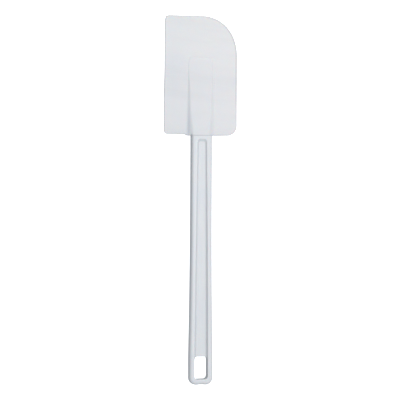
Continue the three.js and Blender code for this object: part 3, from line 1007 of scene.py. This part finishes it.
def mark_near(piece, name, paths, reach, middle=0.0, lowest=0.0):
    """Stores how close in plan each vertex is to some curves: 1 on them, and 0 past a reach."""
    points = [p for path in paths for p in path.points[::4]]
    tree = KDTree(len(points))
    for i, (x, y) in enumerate(points):
        tree.insert((x, y, 0), i)
    tree.balance()
    values = []
    for vert in piece.data.vertices:
        x, y, z = vert.co / MM
        gap = tree.find((x - middle, y, 0))[2]
        outside = abs(z - HALF_THICKNESS) >= lowest
        values.append(max(0.0, 1 - gap / reach) if outside else 0.0)
    attribute = piece.data.attributes.new(name, "FLOAT", "POINT")
    attribute.data.foreach_set("value", values)


def shade(piece, material):
    """Smooth shading that breaks at real corners, with normals led by the large faces."""
    bm = bmesh.new()
    bm.from_mesh(piece.data)
    for face in bm.faces:
        face.smooth = True
    for edge in bm.edges:
        edge.smooth = edge.calc_face_angle(0) < math.radians(38)
    bm.to_mesh(piece.data)
    bm.free()
    piece.data.materials.clear()
    piece.data.materials.append(material)
    weighted = piece.modifiers.new("weighted_normals", "WEIGHTED_NORMAL")
    weighted.keep_sharp = True


def crease_line():
    """A line low on the socket's left wall, near the blade's lower edge, along which shade is painted
    into the blade's colour.
    """
    ends = (MOUTH_Y, MOUTH_Y + CREASE_LENGTH)
    return Path([(SOCKET_X - socket_half_width(y) + CREASE_INSET, y) for y in ends])


# Scene

blade = blade_body()
mark_near(blade, "rim", [blade_outline()], RIM_REACH)
mark_near(blade, "crease", [crease_line()], CREASE_REACH)
shade(blade, soft_blade_looks())
handle = handle_body()
handle_edges = [handle_side(), slot_ring(), Path(recess_rows(0, 0)[0])]
mark_near(handle, "wear", handle_edges, WEAR_REACH, HANDLE_X, HALF_THICKNESS - WEAR_DEPTH)
shade(handle, rigid_handle_looks())
for piece, node, slot_name in (
    (blade, "blade", "flexible_blade"),
    (handle, "handle", "rigid_handle"),
):
    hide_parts(node)
    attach(piece, "root")


def floor_piece():
    """A wide pale floor whose rim curves up, so that it is behind the object from every side."""
    bm = bmesh.new()
    rings = []
    for radius, height in FLOOR_RINGS:
        ring = []
        for k in range(FLOOR_SIDES):
            a = 2 * math.pi * k / FLOOR_SIDES
            ring.append(bm.verts.new((radius * math.cos(a), radius * math.sin(a), height)))
        rings.append(ring)
    bm.faces.new(rings[0])
    for low, high in zip(rings, rings[1:]):
        for k in range(FLOOR_SIDES):
            after = (k + 1) % FLOOR_SIDES
            bm.faces.new((low[k], low[after], high[after], high[k]))
    bmesh.ops.recalc_face_normals(bm, faces=bm.faces)
    mesh = bpy.data.meshes.new("floor")
    bm.to_mesh(mesh)
    bm.free()
    floor = bpy.data.objects.new("floor", mesh)
    bpy.context.scene.collection.objects.link(floor)
    for face in mesh.polygons:
        face.use_smooth = True
    looks = Looks("pale_floor", Roughness=0.9, Specular_IOR_Level=0.0)
    grain = looks.noise(0.02, 3)
    tone = looks.mix(looks.between(grain, 0.3, 0.7), FLOOR_COOL, FLOOR_WARM)
    looks.feed(looks.shader, Base_Color=tone, Emission_Color=(1, 1, 1, 1), Emission_Strength=FLOOR_GLOW)
    mesh.materials.append(looks.material)
    floor.visible_diffuse = False
    floor.visible_glossy = False
    floor.visible_shadow = False
    return floor


def light(name, place, target, size, power, colour):
    data = bpy.data.lights.new(name, "AREA")
    data.shape = "DISK"
    data.size = size
    data.energy = power
    data.color = colour
    lamp = bpy.data.objects.new(name, data)
    lamp.location = place
    lamp.rotation_euler = (Vector(target) - Vector(place)).to_track_quat("-Z", "Y").to_euler()
    bpy.context.scene.collection.objects.link(lamp)


floor_piece()
light("key", KEY_PLACE, (0, 0, 0), KEY_SIZE, KEY_POWER, KEY_COLOUR)
world = bpy.data.worlds.new("studio")
bpy.context.scene.world = world
world.use_nodes = True
background = world.node_tree.nodes["Background"]
background.inputs["Color"].default_value = (*SKY, 1)
background.inputs["Strength"].default_value = SKY_STRENGTH
bpy.context.scene.view_settings.view_transform = "Standard"

low, high = cad_box
centre = (low + high) / 2
back = Vector((-math.sin(VIEW_FROM_LEFT), 0, math.cos(VIEW_FROM_LEFT)))
level_right = Vector((0, 1, 0)).cross(back)
right = level_right * math.cos(VIEW_ROLL) + Vector((0, math.sin(VIEW_ROLL), 0))
up = back.cross(right)
aim = centre + right * AIM_OFFSET[0] + up * AIM_OFFSET[1]
camera_data = bpy.data.cameras.new("camera")
camera_data.lens = CAMERA_LENS
camera_data.sensor_width = SENSOR_WIDTH
camera = bpy.data.objects.new("camera", camera_data)
place = Matrix((right, up, back)).transposed().to_4x4()
place.translation = aim + back * CAMERA_DISTANCE
camera.matrix_world = place
bpy.context.scene.collection.objects.link(camera)
bpy.context.scene.camera = camera
